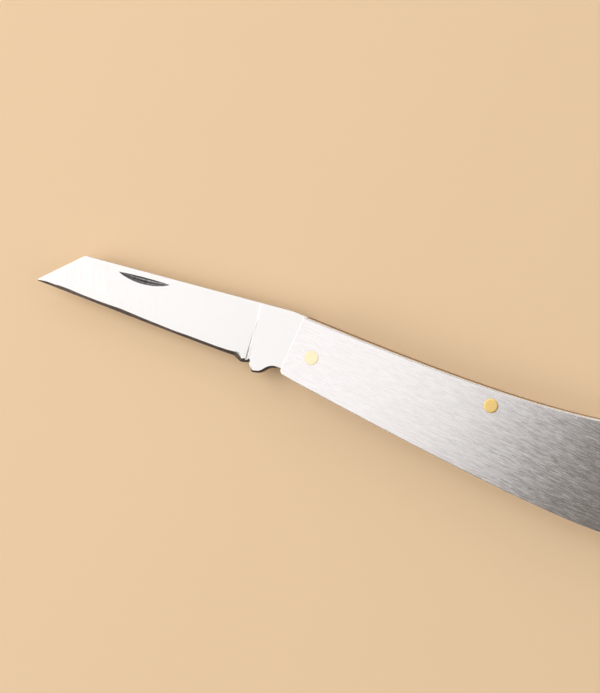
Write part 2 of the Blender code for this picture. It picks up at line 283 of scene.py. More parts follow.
# Place along and across the brush, counted in streaks: length and width are the size of one in millimetres
def brushPlace(tree, turn, length, width):
    coordinate = addNode(tree, "ShaderNodeTexCoord")
    mapping = addNode(tree, "ShaderNodeMapping", vector_type="TEXTURE")
    mapping.inputs["Rotation"].default_value = (0.0, 0.0, turn)
    mapping.inputs["Scale"].default_value = (length * mm, width * mm, width * mm)
    tree.links.new(coordinate.outputs["Object"], mapping.inputs["Vector"])
    return mapping.outputs["Vector"]


# Noise drawn out along the brush
def streaks(tree, turn, length, width, detail=1.5, roughness=0.6):
    noise = addNode(tree, "ShaderNodeTexNoise", Scale=1.0, Detail=detail, Roughness=roughness)
    tree.links.new(brushPlace(tree, turn, length, width), noise.inputs["Vector"])
    return noise.outputs["Fac"]


# Straight dashes in rows: each row is shifted at random and cut into equal lengths,
# and each dash has a random value of its own
def dashes(tree, turn, length, width):
    parts = addNode(tree, "ShaderNodeSeparateXYZ")
    tree.links.new(brushPlace(tree, turn, length, width), parts.inputs["Vector"])
    row = mathNode(tree, "FLOOR", parts.outputs["Y"])
    start = addNode(tree, "ShaderNodeTexWhiteNoise", noise_dimensions="1D")
    tree.links.new(row, start.inputs["W"])
    cell = mathNode(tree, "FLOOR", mathNode(tree, "ADD", parts.outputs["X"], start.outputs["Value"]))
    place = addNode(tree, "ShaderNodeCombineXYZ")
    tree.links.new(cell, place.inputs["X"])
    tree.links.new(row, place.inputs["Y"])
    value = addNode(tree, "ShaderNodeTexWhiteNoise", noise_dimensions="2D")
    tree.links.new(place.outputs["Vector"], value.inputs["Vector"])
    return value.outputs["Value"]


# Carries a value from one range to another, held at its ends
def spread(tree, value, low, high, fromLow, fromHigh):
    node = addNode(tree, "ShaderNodeMapRange")
    node.inputs["From Min"].default_value = fromLow
    node.inputs["From Max"].default_value = fromHigh
    node.inputs["To Min"].default_value = low
    node.inputs["To Max"].default_value = high
    tree.links.new(value, node.inputs["Value"])
    return node.outputs["Result"]


# Mixes two numbers or two colours, each a socket or a plain value
def blend(tree, kind, first, second, factor):
    node = addNode(tree, "ShaderNodeMix", data_type=kind)
    group = {"FLOAT": "Float", "RGBA": "Color"}[kind]
    sockets = {s.identifier: s for s in node.inputs}
    for name, value in ((f"A_{group}", first), (f"B_{group}", second), ("Factor_Float", factor)):
        if isinstance(value, bpy.types.NodeSocket):
            tree.links.new(value, sockets[name])
        else:
            sockets[name].default_value = value
    return {s.identifier: s for s in node.outputs}[f"Result_{group}"]


# Brushed metal: each streak has its own tone, roughness and slight lean of its normal across the brush.
# coarse, fine and cloud are the length and width of a streak in millimetres; cloud brings the dull patches.
def metal(name, look, layer=streaks, cloudDetail=2.0, cloudSpan=(0.4, 0.75)):
    made = bpy.data.materials.new(name)
    made.use_nodes = True
    tree = made.node_tree
    shader = tree.nodes["Principled BSDF"]
    shader.inputs["Metallic"].default_value = 1.0
    shader.inputs["Anisotropic"].default_value = look["drawn"]
    coarse = layer(tree, look["turn"], *look["coarse"])
    fine = layer(tree, look["turn"], *look["fine"])
    cloud = streaks(tree, look["turn"], *look["cloud"], detail=cloudDetail)
    brush = blend(tree, "FLOAT", coarse, fine, look["fineShare"])
    rough = spread(tree, brush, *look["rough"], *look["span"])
    tone = spread(tree, brush, 0.0, 1.0, *look["span"])
    tint = blend(tree, "RGBA", (*look["dark"], 1.0), (*look["pale"], 1.0), tone)
    dulled = spread(tree, cloud, 0.0, look["dullShare"], *cloudSpan)
    tint = blend(tree, "RGBA", tint, (*look["dull"], 1.0), dulled)
    tree.links.new(tint, shader.inputs["Base Color"])
    tree.links.new(rough, shader.inputs["Roughness"])
    across = addNode(tree, "ShaderNodeVectorTransform", vector_type="VECTOR",
                     convert_from="OBJECT", convert_to="WORLD")
    across.inputs["Vector"].default_value = (-math.sin(look["turn"]), math.cos(look["turn"]), 0.0)
    lean = addNode(tree, "ShaderNodeVectorMath", operation="SCALE")
    tree.links.new(across.outputs["Vector"], lean.inputs["Vector"])
    amount = spread(tree, brush, -look["scratch"], look["scratch"], *look["span"])
    tree.links.new(amount, lean.inputs["Scale"])
    leant = addNode(tree, "ShaderNodeVectorMath", operation="ADD")
    tree.links.new(addNode(tree, "ShaderNodeNewGeometry").outputs["Normal"], leant.inputs[0])
    tree.links.new(lean.outputs["Vector"], leant.inputs[1])
    tree.links.new(leant.outputs["Vector"], shader.inputs["Normal"])
    tangent = addNode(tree, "ShaderNodeTangent", direction_type="UV_MAP", uv_map=brushMap["name"])
    tree.links.new(tangent.outputs["Tangent"], shader.inputs["Tangent"])
    return made


scaleTurn = math.radians(-10.0)
scaleSteel = metal("brushedScaleSteel", dict(
    turn=scaleTurn, coarse=(2.4, 0.2), fine=(1.4, 0.13), cloud=(26.0, 9.0), fineShare=0.5, span=(0.0, 1.0),
    rough=(0.16, 0.23), dark=(0.70, 0.678, 0.68), pale=(0.83, 0.808, 0.81), dull=(0.74, 0.713, 0.713),
    dullShare=0.3, scratch=0.03, drawn=0.6), layer=dashes)
# Backspring: browned steel, darkened further as painted shade so that the handle's back shows a dark brown
# strip
springSteelWithPaintedShade = metal("springSteelBrownedWithPaintedShade", dict(
    turn=scaleTurn, coarse=(6.0, 0.25), fine=(14.0, 0.07), cloud=(20.0, 6.0), fineShare=0.5, span=(0.3, 0.7),
    rough=(0.42, 0.54), dark=(0.13, 0.072, 0.039), pale=(0.19, 0.115, 0.07), dull=(0.11, 0.06, 0.032),
    dullShare=0.4, scratch=0.01, drawn=0.5))
# Liners: brass, darkened as painted shade for the dark strip along the handle's back
linerBrassWithPaintedShade = metal("linerBrassWithPaintedShade", dict(
    turn=scaleTurn, coarse=(5.0, 0.3), fine=(10.0, 0.1), cloud=(12.0, 5.0), fineShare=0.4, span=(0.3, 0.7),
    rough=(0.40, 0.54), dark=(0.30, 0.15, 0.045), pale=(0.41, 0.225, 0.075), dull=(0.25, 0.12, 0.037),
    dullShare=0.45, scratch=0.01, drawn=0.4))
pinLook = dict(
    turn=scaleTurn, coarse=(2.6, 0.28), fine=(5.0, 0.09), cloud=(3.0, 2.0), fineShare=0.4, span=(0.3, 0.7),
    rough=(0.22, 0.32), dark=(1.0, 0.70, 0.25), pale=(1.0, 0.76, 0.33), dull=(1.0, 0.68, 0.24),
    dullShare=0.3, scratch=0.012, drawn=0.4)
rubbed = dict(dark=(0.97, 0.77, 0.49), pale=(1.0, 0.82, 0.57), dull=(0.96, 0.76, 0.48))
pinBrass = metal("flushPinBrass", pinLook)
pivotBrass = metal("rubbedPivotBrass", {**pinLook, **rubbed})
bladeTurn = math.radians(92.0)
bladeSteel = metal("groundBladeSteel", dict(
    turn=bladeTurn, coarse=(7.0, 0.35), fine=(12.0, 0.1), cloud=(16.0, 10.0), fineShare=0.5, span=(0.3, 0.7),
    rough=(0.17, 0.27), dark=(0.745, 0.73, 0.725), pale=(0.80, 0.79, 0.785), dull=(0.77, 0.75, 0.745),
    dullShare=0.35, scratch=0.006, drawn=0.45))


# Colour and roughness from a point's mask: painted shade for the honed bevel's dark reflection, the shade
# under the kick and the plunge line; and the cut nick's dark oxide, with painted light stripes and a painted
# shadow in the choil
def maskedFinishAndPaintedShade(material, mask, look, grainSpan=(0.35, 0.65)):
    tree = material.node_tree
    shader = tree.nodes["Principled BSDF"]
    attribute = addNode(tree, "ShaderNodeAttribute", attribute_name=mask)
    grain = spread(tree, streaks(tree, look["turn"], *look["grain"]), 0.0, 1.0, *grainSpan)
    tint = blend(tree, "RGBA", (*look["dark"], 1.0), (*look["pale"], 1.0), grain)
    for socket, kind, value in (("Base Color", "RGBA", tint), ("Roughness", "FLOAT", look["rough"])):
        before = shader.inputs[socket].links[0].from_socket
        tree.links.new(blend(tree, kind, before, value, attribute.outputs["Fac"]), shader.inputs[socket])


# Painted shade: near-black steel for the bevel's dark reflection, the kick's shaded wall and the plunge line
maskedFinishAndPaintedShade(bladeSteel, "paintedShadeMask", dict(
    turn=math.radians(-48.0), grain=(1.6, 0.16), rough=0.34,
    dark=(0.05, 0.038, 0.032), pale=(0.155, 0.116, 0.094)))
# The nick's dark oxide; its mask also paints light stripes in the nick and a shadow in the choil
maskedFinishAndPaintedShade(bladeSteel, "nickOxideAndPaintedShadeMask", dict(
    turn=math.radians(1.5), grain=(2.4, 0.2), rough=0.42,
    dark=(0.010, 0.013, 0.015), pale=(0.07, 0.065, 0.061)))
print("finishes made")


# Handle: the outline of scales and liners, along the back, round the butt, along the belly and up the front.
# A fall is the slope at the end of a curve, and a pull is how far the curve follows it.
handle = dict(
    frontTop=(-4.2, 9.0), frontLow=(-6.88, -5.38), frontRound=1.2, cornerRound=0.5,
    backFall=0.132, backPull=21.5, waist=(61.0, 3.2), waistPull=19.0,
    buttBack=(77.0, 3.55), butt=(88.5, -8.6), buttBelly=(79.0, -21.45),
    bellyPull=12.0, bellyFront=(-3.8, -6.27), bellyFall=0.228, bellyFrontPull=44.0,
    step=0.25, cuts=(22.0, 64.0),
)


def handleBack(h):
    frontTop, waist, buttBack = (np.array(h[k]) for k in ("frontTop", "waist", "buttBack"))
    butt, belly = np.array(h["butt"]), np.array(h["buttBelly"])
    level = np.array(((buttBack[0] - waist[0]) / 2, 0.0))
    return [
        cubicSpan(frontTop, frontTop + h["backPull"] * np.array((1.0, -h["backFall"])),
                  waist - (h["waistPull"], 0.0), waist),
        cubicSpan(waist, waist + level, buttBack - level, buttBack),
        ellipseQuarter(buttBack, np.array((butt[0], buttBack[1])), butt),
        ellipseQuarter(butt, np.array((butt[0], belly[1])), belly),
    ]


def handleLoop(h):
    bellyFront, buttBelly = np.array(h["bellyFront"]), np.array(h["buttBelly"])
    belly = cubicSpan(buttBelly, buttBelly - (h["bellyPull"], 0.0),
                      bellyFront + h["bellyFrontPull"] * np.array((1.0, -h["bellyFall"])), bellyFront)
    back, *rest = handleBack(h)
    start = np.abs(back[:, 0] - back[0, 0] - 2 * h["cornerRound"]).argmin()
    front = roundedPath([(*bellyFront, 0.0), (*h["frontLow"], h["frontRound"]),
                         (*h["frontTop"], h["cornerRound"]), (*back[start], 0.0)])
    spans = [evenly(span, h["step"]) for span in [back[start:], *rest, belly, front]]
    return np.concatenate([span[:-1] for span in spans])


# Index of the back's point and of the belly's point nearest to x
def nearestPair(loop, x, butt):
    back, belly = np.abs(loop[:butt, 0] - x).argmin(), butt + np.abs(loop[butt:, 0] - x).argmin()
    return int(back), int(belly)


# Loops of the zones between the cuts: stretches of the edge closed by straight dividers
def zoneLoops(edge, pairs, steps=24):
    t = np.linspace(0.0, 1.0, steps)[1:-1, None]
    down = [edge[a] + t * (edge[b] - edge[a]) for a, b in pairs]
    loops = [np.concatenate([edge[pairs[0][1]:], edge[:pairs[0][0] + 1], down[0]])]
    for k in range(1, len(pairs)):
        loops.append(np.concatenate([edge[pairs[k - 1][0]:pairs[k][0] + 1], down[k],
                                     edge[pairs[k][1]:pairs[k - 1][1] + 1], down[k - 1][::-1]]))
    return loops + [np.concatenate([edge[pairs[-1][0]:pairs[-1][1] + 1], down[-1][::-1]])]


# Rounding of a rim by the way its side faces: from side to back with the square of the normal's y,
# and from side to front with the square of its -x
def rimEase(normal, rim):
    toBack, toFront = np.maximum(normal[:, 1], 0.0) ** 2, np.maximum(-normal[:, 0], 0.0) ** 2
    return rim["side"] + (rim["back"] - rim["side"]) * toBack + (rim["front"] - rim["side"]) * toFront


def platePatches(loop, pairs, bores, low, high, rimLow, rimHigh):
    normal = outward(loop)
    guides = zoneLoops(loop, pairs)
    easeLow, easeHigh = rimEase(normal, rimLow), rimEase(normal, rimHigh)
    patches = [(wallPatch(loop, normal, easeHigh, easeLow, high, low), True, plain)]
    for ease, height in ((easeLow, low), (easeHigh, high)):
        zones = zoneLoops(loop - ease[:, None] * normal, pairs)
        patches += boredFaces(zones, guides, bores, height, low, high)
    return patches


pinNodes = ("pivot_pin", "spring_pin", "butt_pin")
pinFit = 0.02
bores = [(pinOf(node)[0], pinOf(node)[1] + pinFit) for node in pinNodes]
loop = handleLoop(handle)
buttIndex = int(loop[:, 0].argmax())
pairs = [nearestPair(loop, x, buttIndex) for x in handle["cuts"]]

outerRim = dict(side=0.15, back=0.45, front=0.05)
innerRim = dict(side=0.03, back=0.03, front=0.03)
for node, name, outerUp in (("mark_side_scale", "markScale", True), ("pile_side_scale", "pileScale", False)):
    low, high = heightsOf(node)
    rims = (innerRim, outerRim) if outerUp else (outerRim, innerRim)
    makePiece(name, platePatches(loop, pairs, bores, low, high, *rims), "handle", node,
              scaleSteel, scaleTurn)
for node, name in (("mark_side_liner", "markLiner"), ("pile_side_liner", "pileLiner")):
    low, high = heightsOf(node)
    makePiece(name, platePatches(loop, pairs, bores, low, high, innerRim, innerRim),
              "handle", node, linerBrassWithPaintedShade, scaleTurn)


# Pins: a profile turned round the pin's axis, flush at both ends with a small rounded rim
pin = dict(sides=120, rim=0.015, rimSteps=6, faceRows=5)


def pinPatch(centre, radius, low, high, p):
    a = np.linspace(0.0, math.pi / 2, p["rimSteps"])
    face = np.linspace(0.0, radius - p["rim"], p["faceRows"])[:-1]
    reach = np.concatenate([face, radius - p["rim"] + p["rim"] * np.sin(a)])
    drop = np.concatenate([face * 0.0, p["rim"] * (1 - np.cos(a))])
    reach = np.concatenate([reach, reach[::-1]])
    z = np.concatenate([high - drop, (low + drop)[::-1]])
    turn = np.linspace(0.0, 2 * math.pi, p["sides"], endpoint=False)
    ring = np.stack([np.cos(turn), np.sin(turn)], axis=-1)
    return withHeight(centre + reach[:, None, None] * ring, z[:, None])


pinNames, pinFinishes = ("pivotPin", "springPin", "buttPin"), (pivotBrass, pinBrass, pinBrass)
for node, name, brass in zip(pinNodes, pinNames, pinFinishes):
    centre, radius = pinOf(node)
    makePiece(name, [(pinPatch(centre, radius, *heightsOf(node), pin), True, plain)], "handle", node,
              brass, scaleTurn)


# Backspring: the back and butt follow the handle, the underside clears the tang, the kick and the edge
spring = dict(
    front=-4.08, seat=(6.5, 4.43), kickRest=(15.2, 3.98), bar=(33.0, 2.6), bossDrop=4.0, bossHalf=5.2,
    tail=(70.0, -7.0), tailEnd=-13.0, round=3.4, rim=0.03, step=0.25, cuts=(37.0, 58.0), rows=24,
)


# Its back line and its underside, both from the front to the tail
def springLines(s, h, middle):
    back = np.concatenate(handleBack(h))
    kept = (back[:, 0] > s["front"]) & (back[:, 1] > s["tailEnd"])
    backLine = np.concatenate([[(s["front"], yAt(back, s["front"]))], back[kept]])
    barX, barDeep = s["bar"]
    stops = (
        backLine[-1], s["tail"],
        (middle + s["bossHalf"], -s["bossDrop"]), (middle - s["bossHalf"], -s["bossDrop"]),
        (barX, yAt(back, barX) - barDeep), s["kickRest"], s["seat"], (s["front"], s["seat"][1]))
    return backLine, roundedPath([(*stop, s["round"]) for stop in stops])[::-1]


# The bar ahead of the first cut is a grid of even columns; boss and tail are zones round their bores
def springPatches(s, h, bores, low, high):
    lines = springLines(s, h, bores[0][0][0])
    barEnd, tailStart = s["cuts"]
    ends = [(barEnd, yAt(line, barEnd)) for line in lines]
    ahead = [np.concatenate([line[line[:, 0] < barEnd], [end]]) for line, end in zip(lines, ends)]
    behind = [np.concatenate([a[-1:], line[len(a) - 1:]]) for a, line in zip(ahead, lines)]
    columns = int((barEnd - s["front"]) / s["step"])
    backAhead, underAhead = (evenly(a, count=columns) for a in ahead)
    backBehind, underBehind = (evenly(b, s["step"]) for b in behind)
    t = np.linspace(0.0, 1.0, s["rows"])[:, None]
    front = underAhead[0] + t * (backAhead[0] - underAhead[0])
    loop = np.concatenate([backAhead, backBehind[1:], underBehind[-2:0:-1], underAhead[::-1], front[1:-1]])
    normal = outward(loop)
    ease = np.full(len(loop), s["rim"])
    ease[len(loop) - s["rows"] + 1:] = 0.0
    ease[0] = 0.0
    inset = loop - ease[:, None] * normal
    underStart = len(loop) - (s["rows"] - 2) - columns
    far = columns + len(backBehind) - 2
    pairs = [(columns - 1, underStart), nearestPair(loop[:underStart], tailStart, far)]
    zones, guides = (zoneLoops(line, pairs, s["rows"])[1:] for line in (inset, loop))
    underEdge = inset[underStart:underStart + columns][::-1]
    bar = underEdge + t[:, None] * (inset[:columns] - underEdge)
    patches = [(wallPatch(loop, normal, ease, ease, high, low), True, plain)]
    for height in (low, high):
        patches.append((withHeight(bar, height), False, plain))
        patches += boredFaces(zones, guides, bores, height, low, high)
    return patches


makePiece("backSpring", springPatches(spring, handle, bores[1:], *heightsOf("backspring")), "handle",
          "backspring", springSteelWithPaintedShade, scaleTurn)
print("handle pieces made")


# Blade: corners of the outline, (x, y) or (x, y, radius), run from the shoulder along the spine to the tip
# and back along the edge to the tang; wedges are given by half thicknesses
blade = dict(
    shoulder=(-4.2, 9.0), spineBend=(-8.0, 9.5, 15.0), spineEnd=(-63.6, 9.8, 1.4), tip=(-75.2, 0.84, 0.25),
    edgeFall=0.10, edgeTipPull=15.0, edgeHeelPull=4.0, tipRun=3.4, heelRun=1.5,
    heel=(-20.2, -4.45, 1.6), heelDrop=(-18.1, -5.58, 1.6), heelEnd=(-16.5, -5.3, 0.35),
    choil=(-16.02, -5.12), choilHalf=0.38, choilRound=0.1,
    kickFront=(-14.66, -7.24, 0.7), kickBack=(-12.45, -6.98, 2.8),
    scoop=(-10.4, -5.04, 3.4), neck=(-6.2, -4.25, 0.8), shoulderRound=0.7,
    closedAngle=167.0, flatReach=4.4, camRadius=5.4, camSteps=80, tangStep=0.25,
    # Wedges, and the plunge where they run out into the tang
    edgeHalf=0.03, shoulderHalf=0.27, tipSpineHalf=0.78, grindTop=9.2, tipReach=-79.6,
    plunge=-16.1, plungeRun=0.34, plungeClear=1.55, plungeSoft=0.06,
    # Honed bevel: its usual width, its share of that along the edge, and how it ends at the tip and the heel
    bevelWide=0.85, bevelMost=0.95, bevelEnd=(-16.5, -16.3), bevelOff=10.0, tipTaper=1.1, tipShare=0.25,
    bevelDrop=(0.42, -20.5, -18.4), bevelCorner=(0.14, -19.5, 0.8),
    honing=((-74.0, 0.74), (-69.8, 0.74), (-69.0, 0.88), (-66.0, 0.94), (-62.0, 0.84), (-57.0, 0.86),
            (-51.5, 1.06), (-46.0, 0.95), (-40.0, 0.87), (-36.0, 0.84), (-32.5, 0.97), (-25.0, 1.0),
            (-21.0, 1.12)),
    # Rounded rims, and the most that one takes of the thickness there
    spineRim=0.12, spineRimMost=0.4, tangRim=0.05, kickRim=0.48, choilRim=0.1, lowRimMost=0.8, rimFade=0.4,
    kickRise=(-15.7, -14.9), kickFade=(-9.5, -7.0),
    # Painted shade: under the kick, in the choil, along the plunge, and the dark reflection of the edge
    # itself
    kickPaintedShade=(-15.5, -14.8, -9.0, -6.5), choilPaintedShadeSpan=(-16.7, -16.5, -15.8, -15.55), edgePaintedShade=0.45,
    choilPaintedShadow=(-16.0, -4.8, 0.56, 0.6), choilPaintedShadowFade=(0.75, 1.1),
    plungePaintedShade=(-16.26, 0.3, 0.34, -5.0, 3.5), plungeSlopePaintedShade=(0.6, 0.12, 0.5, 1.5),
    # Nail nick: its place and size, its ridges, and painted light stripes across its dark oxide from its arc
    # to its upper rim
    nickLeft=-53.97, nickRight=-40.1, nickTop=8.31, nickBow=0.2, nickWide=1.75, nickDeep=0.55, nickFull=0.85,
    nickRidges=((0.36, 0.05, 0.05), (0.68, 0.045, 0.04)), ridgeGain=3.0,
    nickPaintedStripes=((0.0, 0.0), (0.05, 0.96), (0.12, 0.93), (0.24, 0.85), (0.36, 0.90), (0.44, 1.0), (0.57, 1.0),
               (0.65, 0.64), (0.75, 0.62), (0.83, 0.95), (0.88, 1.0), (1.0, 1.0)),
    nickDashes=(1.1, 3.7, 1.5, 0.4),
    # Columns of the mesh: (where a stretch ends, step along the edge)
    stretches=((-73.5, 0.05), (-21.5, 0.3), (-14.5, 0.045), (-4.2, 0.08)), columnDigits=4,
)
# Rows of a face, as shares of the way across each of its four grids
rowShares = dict(
    bevel=np.array((0.0, 0.04, 0.35, 0.7, 0.96, 1.0)),
    face=np.concatenate([[0.0, 0.004], np.linspace(0.012, 0.084, 7), np.linspace(0.11, 0.97, 22),
                         [0.996, 1.0]]),
    nick=np.concatenate([[0.0, 0.02], np.linspace(0.05, 0.96, 30), [1.0]]),
    cap=np.array((0.0, 0.03, 0.27, 0.5, 0.73, 0.97, 1.0)),
)


# Outline in three runs: tip to shoulder along the spine, tip to the tang along the edge, and round the tang.
# The tang has a flat for the open blade and one for the shut blade, and the cam is an arc between them.
def bladePaths(b):
    tip, heel, shoulder = (np.array(b[k][:2]) for k in ("tip", "heel", "shoulder"))
    edge = cubicSpan(tip, tip + b["edgeTipPull"] * np.array((1.0, -b["edgeFall"])),
                     heel - (b["edgeHeelPull"], 0.0), heel)
    fromTip, fromHeel = (np.linalg.norm(edge - end, axis=1) for end in (tip, heel))
    edge = edge[(fromTip > b["tipRun"]) & (fromHeel > b["heelRun"])]
    shutFacing = math.pi / 2 - math.radians(b["closedAngle"])
    flatFront = (b["flatReach"] - shoulder[0] * math.cos(shutFacing)) / math.sin(shutFacing)
    flatHalf = math.acos(b["flatReach"] / b["camRadius"])
    a = np.linspace(shutFacing + flatHalf, math.pi / 2 - flatHalf, b["camSteps"])
    cam = b["camRadius"] * np.stack([np.cos(a), np.sin(a)], axis=-1)
    ahead = roundedPath([(*shoulder, 0.0), b["spineBend"], b["spineEnd"], b["tip"], (*edge[0], 0.0)])
    choilX, choilY = b["choil"]
    behind = roundedPath([
        (*edge[-1], 0.0), b["heel"], b["heelDrop"], b["heelEnd"],
        (choilX - b["choilHalf"], choilY, b["choilRound"]),
        (choilX + b["choilHalf"], choilY, b["choilRound"]),
        b["kickFront"], b["kickBack"], b["scoop"], b["neck"],
        (shoulder[0], flatFront, b["shoulderRound"]), (*cam[0], 0.0)])
    whole = np.concatenate([ahead[:-1], edge, behind[1:]])
    first = whole[:, 0].argmin()
    spine, under = whole[first::-1], whole[first:]
    corner = np.array([(shoulder[0], np.interp(shoulder[0], under[:, 0], under[:, 1]))])
    bottom = np.concatenate([under[under[:, 0] < shoulder[0]], corner])
    openEnd = [(shoulder[0], b["flatReach"])]
    tang = np.concatenate([corner, under[under[:, 0] > shoulder[0]], cam[1:], openEnd])
    return spine, bottom, evenly(tang, b["tangStep"])


# Columns along x, and the y of the edge and of the spine at each
def bladeColumns(b, spine, bottom):
    begin = -math.inf
    xs = [(b["nickLeft"], b["nickRight"])]
    for end, step in b["stretches"]:
        part = bottom[(bottom[:, 0] >= begin) & (bottom[:, 0] <= end)]
        xs.append(evenly(part, step)[:, 0])
        begin = end
    xs = np.unique(np.round(np.concatenate(xs), b["columnDigits"]))
    xs[0], xs[-1] = bottom[0, 0], bottom[-1, 0]
    yLow = np.interp(xs, bottom[:, 0], bottom[:, 1])
    yTop = np.interp(xs, spine[:, 0], spine[:, 1])
    yTop[0] = yLow[0]
    return xs, yLow, yTop


# Share of the bevel's usual width: uneven along the edge, wider round the heel, and narrow at the tip
def honedShare(b, xs):
    drop, *dropRun = b["bevelDrop"]
    gain, cornerX, cornerRun = b["bevelCorner"]
    share = np.interp(xs, *np.transpose(b["honing"])) + drop * smooth(xs, *dropRun)
    share = share + gain * np.exp(-((xs - cornerX) / cornerRun) ** 2)
    return share * np.interp(xs - xs[0], (0.0, b["tipTaper"]), (b["tipShare"], 1.0))


# Half thickness of a ground face is a wedge, foot(x) + slope(x) y, that thins evenly from the heel to the tip
def groundHalf(b, tangHalf, x):
    heelFoot, tipFoot = b["heel"][1] + b["bevelWide"], b["tip"][1] + b["bevelWide"]
    heelSlope = (tangHalf - b["shoulderHalf"]) / (b["grindTop"] - heelFoot)
    tipSlope = (b["tipSpineHalf"] - b["shoulderHalf"]) / (b["grindTop"] - tipFoot)
    along = np.clip((x - b["tipReach"]) / (b["plunge"] - b["plungeRun"] - b["tipReach"]), 0.0, 1.0)
    slope = tipSlope + along * (heelSlope - tipSlope)
    foot = b["shoulderHalf"] - tipSlope * tipFoot + along * (tipSlope * tipFoot - heelSlope * heelFoot)
    return foot, slope


# At the plunge the wedge rises as a quarter ellipse, clear + sqrt(1 - share^2) (wedge - clear), to the tang
def faceHalf(b, tangHalf, x, y):
    foot, slope = groundHalf(b, tangHalf, x)
    share = np.clip((x - b["plunge"]) / b["plungeRun"] + 1.0, 0.0, 1.0)
    rise = b["plungeClear"] + np.sqrt(1.0 - share ** 2) * (foot + slope * y - b["plungeClear"])
    return softMin(rise, tangHalf, b["plungeSoft"])


# Rims of the nail nick: the upper one is bowed, and the lower one is below it by the nick's width,
# nickWide (4 s (1 - s))^nickFull along its length s. Beyond its ends both are one line, to the tang's flat.
def nickRims(b, xs, brow, top):
    left, right = b["nickLeft"], b["nickRight"]
    first, last = np.searchsorted(xs, (left, right))
    s = np.clip((xs - left) / (right - left), 0.0, 1.0)
    arch = (4 * s * (1 - s)) ** b["nickFull"]
    arch[:first + 1] = 0.0
    arch[last:] = 0.0
    nickEnd = b["nickTop"] - b["nickBow"]
    stops = ((first, nickEnd), (last, nickEnd), (-1, b["flatReach"]))
    shares = [(y - brow[i, 1]) / (top[i, 1] - brow[i, 1]) for i, y in stops]
    line = np.interp(xs, (left, right, xs[-1]), shares)
    rimTop = brow[:, 1] + line * (top[:, 1] - brow[:, 1])
    rimTop[first:last + 1] = b["nickTop"] - b["nickBow"] * (2 * s[first:last + 1] - 1) ** 2
    width = b["nickWide"] * arch
    upper = np.stack([xs, rimTop], axis=-1)
    return upper - np.stack([xs * 0, width], axis=-1), upper, width


# Depth of the nick: cone * width(x) * share, from nothing at the arc to its deepest at the upper rim,
# less fine ridges that fade out at both rims
def nickDepth(b, width, share):
    depth = b["nickDeep"] / b["nickWide"] * width * share
    ridges = sum(tall * np.exp(-((share - at) / wide) ** 2) for at, wide, tall in b["nickRidges"])
    return depth - ridges * width / b["nickWide"] * np.minimum(share, 1 - share) * b["ridgeGain"]


# Marks of the rows of a face, bevel, ground face, nick and cap: painted shade, and the nick's oxide with
# painted stripes
def bladeMarks(b, rows, xs, flat, faceHeights, sharp, nickWidth):
    marks = [np.zeros(f.shape[:2] + (2,)) for f in flat]
    bevel, face, nick, _ = marks
    # Painted shade on the kick's wall and rim, where it mirrors shaded floor
    onKick = window(xs, b["kickPaintedShade"])
    # The bevel's dark reflection is painted, lighter on the edge row
    bevel[:-1, :, 0] = np.maximum(sharp, onKick)
    bevel[0, :, 0] = np.maximum(b["edgePaintedShade"] * sharp, onKick)
    # Painted shadow in the choil, on the nick's mask
    bevel[..., 1] = window(xs, b["choilPaintedShadeSpan"])
    # Plunge: a painted shade line that fades upwards, and painted shade on its steep part to grey its lamp
    # reflection
    shadeX, shadeWide, shade, *shadeFade = b["plungePaintedShade"]
    dull, steepLow, steepHigh, dullReach = b["plungeSlopePaintedShade"]
    steep = np.gradient(faceHeights, axis=1) / np.gradient(xs)
    shaded = shade * np.exp(-((xs - shadeX) / shadeWide) ** 2) * (1 - smooth(flat[1][..., 1], *shadeFade))
    dulled = dull * smooth(steep, steepLow, steepHigh) * (abs(xs - b["plunge"]) < dullReach)
    face[..., 0] = np.maximum(shaded, dulled)
    # A painted shadow spot at the choil on the ground face
    dotX, dotY, dotWide, dotTall = b["choilPaintedShadow"]
    spot = np.sqrt(((flat[1][..., 0] - dotX) / dotWide) ** 2 + ((flat[1][..., 1] - dotY) / dotTall) ** 2)
    face[..., 1] = 1 - smooth(spot, *b["choilPaintedShadowFade"])
    # Nick: painted light stripes across its dark oxide, broken into dashes along it
    tones = np.interp(rows["nick"], *np.transpose(b["nickPaintedStripes"]))
    dash, drift, swing, gap = b["nickDashes"]
    broken = 1 + gap * np.sin(2 * np.pi * xs / dash + swing * np.sin(2 * np.pi * xs / drift))
    nick[..., 1] = (1 - (1 - tones[:, None]) * broken) * (nickWidth > 0)
    return marks


